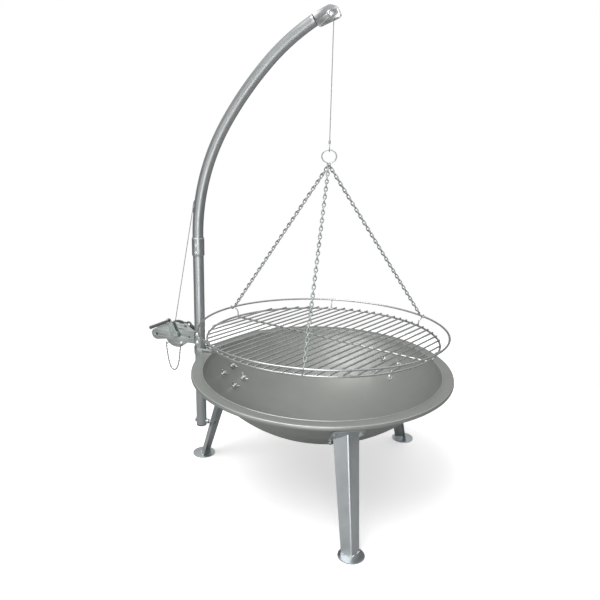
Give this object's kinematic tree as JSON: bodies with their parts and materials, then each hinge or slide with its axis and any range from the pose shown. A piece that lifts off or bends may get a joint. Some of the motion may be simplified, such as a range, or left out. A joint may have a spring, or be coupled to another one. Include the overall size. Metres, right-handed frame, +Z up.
{
  "type": "fire pit with grate",
  "caption": "Round steel fire bowl on splayed legs with a swing arm, hand winch and a round cooking grate hung on chains over the bowl.",
  "frame": {"origin": "centre of the bounding box at floor level; the bowl axis stands 94.4 mm towards +X from it", "axes": "+Z up; the arm lies in the XZ plane and reaches from the pole towards +X"},
  "size_m": [0.9888, 0.8, 1.4134],
  "materials": {
    "bowl_paint": "satin silver-grey heat paint",
    "leg_paint": "satin silver-grey paint",
    "pole_paint": "silver lacquer, half gloss",
    "zinc": "bright zinc plating",
    "bright_plating": "bright plated",
    "grate_chrome": "chromed wire",
    "steel_rope": "galvanised strands",
    "dark_plastic": "moulded"
  },
  "bodies": {
    "stand": {"arm": "pole_paint", "bowl": "bowl_paint", "chain_rivet": "zinc", "clevis": "bright_plating", "foot_back": "leg_paint", "foot_front": "leg_paint", "foot_right": "leg_paint", "leg_back": "leg_paint", "leg_bolt_back_1": "zinc", "leg_bolt_back_2": "zinc", "leg_bolt_back_3": "zinc", "leg_bolt_back_4": "zinc", "leg_bolt_front_1": "zinc", "leg_bolt_front_2": "zinc", "leg_bolt_front_3": "zinc", "leg_bolt_front_4": "zinc", "leg_bolt_right_1": "zinc", "leg_bolt_right_2": "zinc", "leg_bolt_right_3": "zinc", "leg_bolt_right_4": "zinc", "leg_front": "leg_paint", "leg_right": "leg_paint", "lock_chain": "zinc", "pole": "pole_paint", "pole_bolt": "zinc", "pole_cap": "dark_plastic", "pole_spacer": "zinc", "pulley_bolt": "bright_plating", "pulley_nut": "bright_plating", "rim_clamp": "zinc", "rim_clamp_bolt": "zinc", "rope_grommet": "dark_plastic", "rope_run": "steel_rope", "socket_screw_1": "zinc", "socket_screw_2": "zinc", "winch_bolt_1": "zinc", "winch_bolt_2": "zinc", "winch_frame": "zinc"},
    "winch_crank": {"winch_drum": "zinc", "rope_winding": "steel_rope", "crank_arm": "zinc", "grip_rivet": "zinc"},
    "grip": {"crank_grip": "dark_plastic"},
    "pin": {"lock_pin": "bright_plating"},
    "pulley": {"pulley_wheel": "bright_plating"},
    "rope": {"rope_drop": "steel_rope"},
    "lift": {"rope_crimp": "steel_rope"},
    "hanging_grate": {"lift_ring": "zinc", "rope_eye": "steel_rope", "cooking_grate": "grate_chrome", "handle_ring": "grate_chrome", "chain_hook_back_left": "zinc", "chain_hook_front": "zinc", "chain_hook_back_right": "zinc", "chain_back_left": "zinc", "chain_front": "zinc", "chain_back_right": "zinc"}
  },
  "joints": [
    {"name": "side_swing", "type": "hinge", "parent": "stand", "child": "rope", "pos_m": [0.09436, 0, 1.3907], "axis": [1, 0, 0], "range_deg": [-7, 7]},
    {"name": "grate_lift", "type": "slide", "parent": "rope", "child": "lift", "axis": [0, 0, 1], "range_m": [-0.075, 0.25], "deforming": ["rope_drop"]},
    {"name": "grate_spin", "type": "hinge", "parent": "lift", "child": "hanging_grate", "pos_m": [0.09436, 0, 1.016], "axis": [0, 0, 1], "continuous": true},
    {"name": "crank_turn", "type": "hinge", "parent": "stand", "child": "winch_crank", "pos_m": [-0.40314, 0, 0.42], "axis": [0, 1, 0], "range_deg": [-843, 253]},
    {"name": "pulley_turn", "type": "hinge", "parent": "stand", "child": "pulley", "pos_m": [0.08336, 0, 1.3907], "axis": [0, 1, 0], "range_deg": [-1303, 391]},
    {"name": "grip_fold", "type": "hinge", "parent": "winch_crank", "child": "grip", "pos_m": [-0.42264, -0.031, 0.4687], "axis": [-0.4194, 0, 0.9078], "range_deg": [0, 90]},
    {"name": "lock_pin_pull", "type": "slide", "parent": "stand", "child": "pin", "axis": [0, -1, 0], "range_m": [0, 0.03]}
  ],
  "couplings": [
    {"joint": "crank_turn", "follows": "grate_lift", "rad_per_m": -58.824},
    {"joint": "pulley_turn", "follows": "grate_lift", "rad_per_m": -90.909}
  ]
}
